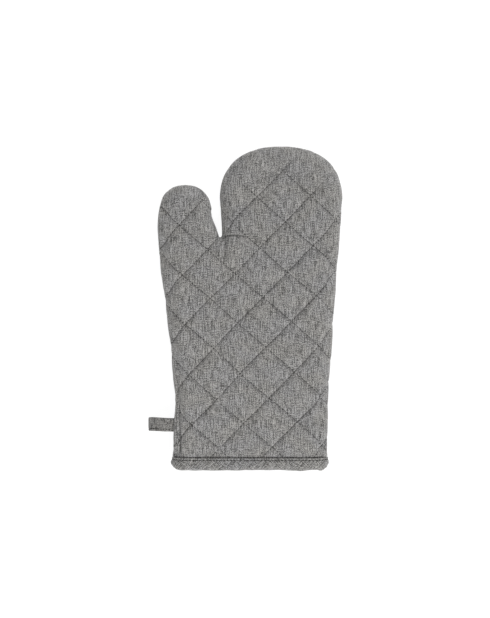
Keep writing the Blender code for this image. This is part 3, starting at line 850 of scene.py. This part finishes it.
def settle(panel, depth):
    """Puffs the outer face up between its stitching by a cloth simulation, and gives the new depths."""
    held = np.minimum(*(family[0] for family in line_distances(panel.flat))) < 0.25
    held |= (panel.roll > 0.8) | (panel.cut.open < 0.5)
    held |= (panel.flat[:, 1] < PINCH_START) | (creases(panel) > 1.2)
    start = panel.places(depth) * SETTLE_SCALE
    sheet = new_object("settling", start, panel.faces)
    sheet.vertex_groups.new(name="held").add(np.nonzero(held)[0].tolist(), 1.0, "REPLACE")
    cloth = sheet.modifiers.new("cloth", "CLOTH")
    cloth.collision_settings.use_collision = False
    for key, value in SETTLE.items():
        setattr(cloth.settings, key, value)
    cloth.settings.effector_weights.gravity = 0
    for number in range(1, SETTLE_FRAMES + 1):
        SCENE.frame_set(number)
    ends = np.empty(start.size)
    sheet.evaluated_get(bpy.context.evaluated_depsgraph_get()).to_mesh().vertices.foreach_get("co", ends)
    bpy.data.objects.remove(sheet)
    SCENE.frame_set(1)
    rise = ((ends.reshape(-1, 3) - start) / SETTLE_SCALE / MM * panel.cut.out * (1, 1, panel.side)).sum(1)
    even = 0.4 * panel.flatness  # so that the mean stays about where it was
    depth = depth + SETTLE_CAP * (even - np.tanh(rise / SETTLE_CAP))
    return depth if panel.side > 0 else np.maximum(depth, BACK_LEAST)


def deepest_near(fine, depth, coarse):
    """For each place of the coarse cut, how deep the shell goes anywhere near it."""
    tree = tree_of(fine.places(0.0))
    deepest = []
    for place in coarse.places(0.0):
        near = [number for _, number, _ in tree.find_range(place, 2.4 * MM)] or [tree.find(place)[1]]
        deepest.append(depth[near].max())
    return np.array(deepest)


def make_layer(name, slot, form, panel, depths, material):
    """One layer between two depths, as its shares in palm, thumb and fingers."""
    outer, inner = (panel.places(depth) for depth in depths)
    parts = divide(closed_layer(f"{name}_{slot}_{form}", panel, outer, inner))
    attach(parts, material, slot, node_names(f"{name}_{slot}"))
    return parts


def make_panel(name, side):
    """Shell, quilting, wadding and lining of one panel."""
    fine, coarse = Panel(FINE_CUT, side), Panel(COARSE_CUT, side)
    depth = settle(fine, outer_depth(fine))
    depths = (depth, depth + SHELL_THICKNESS)
    shell = make_layer(name, "shell", "cloth", fine, depths, SHELL_CLOTH)
    declare_cloth(shell, fine, 0.0)
    for region, (rows, normals) in quilt_stitches(fine, fine.places(depth)).items():
        made = stitch_mesh(rows, normals, THREAD_RADIUS * MM)
        stitches = new_object(f"{region}_{name}_quilting_stitches", *made)
        attach({region: stitches}, THREAD, "thread", node_names(f"{name}_quilting"))
    low, high = (inner_depth(coarse, limit) for limit in WADDING_DEPTHS)
    low = np.maximum(low, deepest_near(fine, depth, coarse) + SHELL_THICKNESS + WADDING_GAP)
    high = np.maximum(high, low + WADDING_LEAST)
    for part in make_layer(name, "wadding", "layer", coarse, (low, high), WADDING).values():
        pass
    depths = (high + LINING_GAP, high + LINING_GAP + LINING_THICKNESS)
    lining = make_layer(name, "lining", "cloth", coarse, depths, LINING_CLOTH)
    declare_cloth(lining, coarse, LINING_DEPTH)


FINE_CUT = Cut(**FINE)
COARSE_CUT = Cut(**COARSE)


# ---- seam inside ----


def seam_strip(name, insets, heights, wave):
    """A strip that follows the seam inside the mitt, slightly wavy along its free edge."""
    points, normals = seam_line(3.0)
    ripple = wave * noise(np.arange(len(points)) / 3.0, 0, 61)[:, None]
    near, far = points + normals * insets[0], points + normals * (insets[1] + ripple)
    low, high = heights
    verts, uv = [], []
    for a, b, length in zip(near, far, lengths_along(points)):
        section = [(a, low), (b, low * 0.8), (b, high * 0.8), (a, high)]
        for number, ((x, y), z) in enumerate(section):
            verts.append((x, max(y, BINDING_INNER_TOP + 0.6), HALF_THICKNESS + z))
            uv.append((length, number * 4.0))
    faces = tube_faces(len(points), 4)
    return divide(new_object(name, np.array(verts) * MM, faces, np.array(uv) * MM))


def make_seam():
    strips = [
        ("allowance", "turned_edges", (7.0, 11.5), (-1.9, 1.9), 0.5, LINING_CLOTH, "lining"),
        ("stitching", "seam_thread", (9.0, 9.8), (2.0, 2.5), 0.1, THREAD, "thread"),
    ]
    for kind, name, insets, heights, wave, material, slot in strips:
        nodes = {region: [f"{region}_seam_{kind}"] for region in ("thumb", "fingers")}
        nodes["palm"] = [f"palm_seam_{kind}_{stretch}" for stretch in ("left", "crotch", "right")]
        attach(seam_strip(name, insets, heights, wave), material, slot, nodes)


# ---- cuff binding ----


def mouth_profile(step):
    """Points, outward normals and lengths round the mouth, from the right side over the front."""
    left, right = LEFT_SIDE[0][0] + EDGE_ROLL, RIGHT_SIDE[-1][0] - EDGE_ROLL
    half = HALF_THICKNESS * PINCH
    angles = np.linspace(0, math.pi / 2, 24, endpoint=False)
    front = [(right + EDGE_ROLL * math.cos(a), half * math.sin(a)) for a in angles]
    front += [(x, half) for x in np.linspace(right, left, 100, endpoint=False)]
    front += [(left - EDGE_ROLL * math.sin(a), half * math.cos(a)) for a in angles]
    front = np.array(front)
    ring = np.vstack([front, (left + right, 0) - front, front[:1]])
    marks = lengths_along(ring)
    count = int(marks[-1] / step)
    wanted = np.arange(count) * marks[-1] / count
    points = resampled(wanted, marks, ring)
    along = unit(np.roll(points, -1, axis=0) - np.roll(points, 1, axis=0))
    return points, -turned_left(along), wanted, marks[-1]


def binding_section():
    """The folded strip's section as closed (y, offset out of the shell) pairs, and its lengths."""
    line = [(BINDING_TOP, 0.6), (BINDING_TOP - 0.5, 0.85), (BINDING_STITCH_Y, 0.5), (-149.3, 1.15),
            (-151.3, 1.5), (-153.6, 1.4), (-155.8, 0.65), (-157.3, -0.7), (-158.1, -2.8), (-157.8, -5.0),
            (-156.2, -6.6), (-154.0, -7.3), (-150.5, -7.4), (BINDING_INNER_TOP, -7.2)]
    curve = smooth_curve(line, per_span=3)
    side = turned_left(unit(np.gradient(curve, axis=0))) * BINDING_HALF
    run = lengths_along(curve)
    start, end = curve[[0, -1]] + (BINDING_EDGE, 0.0)
    section = np.vstack([start, curve + side, end, (curve - side)[::-1]])
    return section, np.concatenate([[0], run, run[-1:], run[::-1] + INSIDE_SHIFT])


def binding_shape(section, points, normals, wanted, total):
    """The swept binding with its waves, dents and rounded corners."""
    y, length = np.meshgrid(section[:, 0], wanted)
    offset, _ = np.meshgrid(section[:, 1], wanted)
    low = smoothstep(-y, 149, 159)
    y += 0.7 * (noise(length / 19, 0, 41) + 0.5 * noise(length / 8, 0, 42)) * low
    y += corner_rise(np.abs(normals[:, :1])) * low
    join = RIGHT_SIDE[-1][0] - 5.0  # where the strip's ends overlap, and are bulky
    y -= 1.1 * np.exp(-((points[:, :1] - join) / 3.0) ** 2) * low
    row_dent = 0.6 * np.exp(-((y - BINDING_STITCH_Y) / 0.9) ** 2)
    row_dent *= 0.75 - 0.25 * np.cos(2 * math.pi * length / STITCH_PITCH)
    puff = 0.16 * noise((length + (y + 150) * 0.9) / 4.6, (length - y) / 30, 43)
    puff *= smoothstep(-y, 148, 150) * (1 - smoothstep(-y, 155, 158))
    soft = 0.35 * noise(length / 15, y / 9, 44) * smoothstep(-y, 148, 151)
    offset += smoothstep(offset, -3, 0) * (puff + soft - row_dent)
    offset += 0.12 * np.sin(2 * math.pi * length / total * 9)
    x = points[:, :1] + normals[:, :1] * offset
    z = np.maximum(points[:, 1:] + normals[:, 1:] * offset + HALF_THICKNESS, -0.25)
    return np.stack([x, y, z], axis=2), length


def make_binding():
    points, normals, wanted, total = mouth_profile(1.1)
    section, run = binding_section()
    verts, length = binding_shape(section, points, normals, wanted, total)
    uv = np.stack(np.broadcast_arrays(length, run), axis=2).reshape(-1, 2)
    faces = tube_faces(len(points), len(section), closed=True)
    binding = new_object("cuff_binding_strip", verts.reshape(-1, 3) * MM, faces, uv * MM)
    close_uv_loop(binding, total)
    attach({"palm": binding}, BINDING_CLOTH, "shell", {"palm": ["cuff_binding"]})
    sweep = (wanted, points + (0, HALF_THICKNESS), normals, total)
    made = swept_stitches(binding, binding_row(total), sweep, 0.02, BINDING_THREAD)
    stitches = new_object("cuff_binding_stitches", *made)
    attach({"palm": stitches}, THREAD, "thread", {"palm": ["cuff_binding_stitching"]})


def close_uv_loop(piece, total):
    """Carries the cloth's coordinate on past the join, so that the weave doesn't run back there."""
    data = piece.data.uv_layers["cloth"].data
    uv = np.empty(len(data) * 2, np.float32)
    data.foreach_get("uv", uv)
    along, total = uv.reshape(-1, 4, 2)[:, :, 0], total * MM
    wrapped = np.ptp(along, axis=1, keepdims=True) > total / 2
    along[wrapped & (along < total / 2)] += total
    data.foreach_set("uv", uv)


def binding_row(total):
    """One row round the cuff, in the dent below the binding's upper edge."""
    seed = np.random.default_rng(21)
    count = int(total / STITCH_PITCH)
    row = []
    for number in range(count):
        height, start = BINDING_STITCH_Y + seed.normal(0, 0.08), number * (total / count)
        row.append([((start + STITCH_LENGTH * step) % total, height + (step - 0.5) * seed.normal(0, 0.1))
                    for step in STITCH_STEPS])
    return row


def swept_stitches(piece, row, sweep, reach, thread, lift=1.0, facing=-1.1):
    """The mesh of a row of stitches, each a list of (length, y) pairs, on a swept piece. sweep holds
    the lengths, points and ways out along it, and its period. The search for its surface starts at
    reach, and facing is the least way up."""
    wanted, points, outs, period = sweep
    tree = BVHTree.FromObject(piece, bpy.context.evaluated_depsgraph_get())
    rows, ups = [], []
    for stitch in row:
        hits = []
        for at, y in stitch:
            x, z = resampled(at, wanted, points, period)
            way_x, way_z = resampled(at, wanted, outs, period)
            out = Vector((way_x, 0, way_z)).normalized()
            hit = tree.ray_cast(Vector((x, y, z)) * MM + out * reach, -out)[0]
            hits.append((hit, out))
        if all(hit is not None and out.z > facing for hit, out in hits):
            up = hits[3][1]
            rows.append(np.array([hit + up * high for (hit, _), high in zip(hits, ARCH * lift)]))
            ups.append(np.array(up))
    return stitch_mesh(rows, ups, THREAD_RADIUS * thread * MM)


# ---- hanging loop ----


LOOP_HINGE = Vector(JOINTS["loop_swing"]["pos_m"])


def loop_path():
    """The tape's centre line as (x, z): out of the seam over the eye, round the fold and back."""
    tip = (LOOP_LOW.x - LOOP_HINGE.x) / MM + TAPE_HALF
    line = [(LOOP_SEWN_IN, 0.7), (2, 0.72), (-2, 0.5), (-7, -0.6), (-13, -3.4), (tip + 4.6, -6.6),
            (tip + 0.9, -8.6), (tip, -10.2), (tip + 1.2, -12.2), (tip + 4.4, -13.1), (-14, -10.2),
            (-8, -5.4), (-3, -1.6), (2, -0.72), (LOOP_SEWN_IN, -0.7)]  # from the hinge
    return smooth_curve(line, per_span=8) + (LOOP_HINGE.x / MM, LOOP_HINGE.z / MM)


def make_loop():
    path = loop_path()
    outs = turned_left(unit(np.gradient(path, axis=0)))
    outs = -outs if outs[5, 1] < 0 else outs
    lengths = lengths_along(path)
    half = LOOP_WIDTH / 2 - 0.1
    across = np.linspace(-1, 1, TAPE_COLUMNS)
    across = np.concatenate([across, across[::-1]])
    face = np.repeat((1, -1), TAPE_COLUMNS)
    verts, uv = [], []
    for (x, z), (way_x, way_z), length in zip(path, outs, lengths):
        puff = TAPE_HALF * (1 - 0.55 * np.abs(across) ** 6)
        puff -= 0.22 * np.exp(-((across - TAPE_ROW) / 0.09) ** 2)
        puff = face * (puff + 0.06 * noise(length / 2.6, across * 3, 52))
        y = LOOP_Y + across * half + 0.12 * noise(length / 6, across * 0.2, 51)
        verts.append(np.stack([x + way_x * puff, y, z + way_z * puff], axis=1))
        shift = np.where(face < 0, UNDERSIDE_SHIFT, 0)
        uv.append(np.stack(np.broadcast_arrays(length, across * half + shift), axis=1))
    faces = tube_faces(len(path), len(across))
    loop = new_object("hanging_loop_tape", np.vstack(verts) * MM, faces, np.vstack(uv) * MM)
    fix_normals(loop)
    places = np.arange(LOOP_SEWN_IN + 1.5, lengths[-1] - LOOP_SEWN_IN - 3, TAPE_STITCH["pitch"])
    steps = TAPE_STITCH["length"] * STITCH_STEPS
    row = [[(place + step, LOOP_Y + TAPE_ROW * half) for step in steps] for place in places]
    sweep = (lengths, path, outs, None)
    made = swept_stitches(loop, row, sweep, 0.0015, TAPE_STITCH["thread"], lift=0.8, facing=0.5)
    stitches = new_object("hanging_loop_stitches", *made)
    for piece, material in ((loop, TAPE_CLOTH), (stitches, THREAD)):
        piece.data.materials.append(material)
        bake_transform(piece)
    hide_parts("hanging_loop", "loop_tape_ends")
    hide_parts("hanging_loop_stitching")


def fix_normals(piece):
    bm = bmesh.new()
    bm.from_mesh(piece.data)
    bmesh.ops.recalc_face_normals(bm, faces=bm.faces)
    bm.to_mesh(piece.data)
    bm.free()


# ---- setting ----


def make_floor():
    half = 12.0
    corners = [(-half, -half, 0), (half, -half, 0), (half, half, 0), (-half, half, 0)]
    floor = new_object("floor", corners, [(0, 1, 2, 3)])
    floor.location.z = -0.0004
    white = {"Base Color": (0.12, 0.12, 0.12, 1), "Roughness": 0.9,
             "Emission Color": (1, 1, 1, 1), "Emission Strength": 0.93}
    floor.data.materials.append(Nodes("white_table").surface(white))


def round_light(name, place, power):
    """A disc of light that faces the mitt."""
    data = bpy.data.lights.new(name, "AREA")
    data.shape, data.size, data.energy = "DISK", 0.8, power
    light = linked(name, data)
    light.location = place
    light.rotation_euler = (-Vector(place)).to_track_quat("-Z", "Y").to_euler()


def make_light():
    world = bpy.data.worlds.new("studio")
    world.use_nodes = True
    background = world.node_tree.nodes["Background"]
    background.inputs["Color"].default_value = (1, 1, 1, 1)
    background.inputs["Strength"].default_value = 0.66
    SCENE.world = world
    round_light("key", (0.53, -1.58, 1.45), 39.5)
    round_light("rim", (0.4, 1.85, 0.35), 20)


def make_camera():
    data = bpy.data.cameras.new("camera")
    data.lens = 85
    data.sensor_width = 36
    data.clip_end = 20
    camera = linked("camera", data)
    view_height = 0.6087  # of the picture, at the height of the seam
    distance = view_height / 2 / (data.sensor_width / 2 / data.lens)
    camera.location = (0.00025, -0.0005, HALF_THICKNESS * MM + distance)
    SCENE.camera = camera


# ---- assembly ----

SCENE.view_settings.view_transform = "Standard"
make_camera()
make_light()
make_floor()
make_panel("front", 1)
make_panel("back", -1)
make_seam()
make_binding()
make_loop()
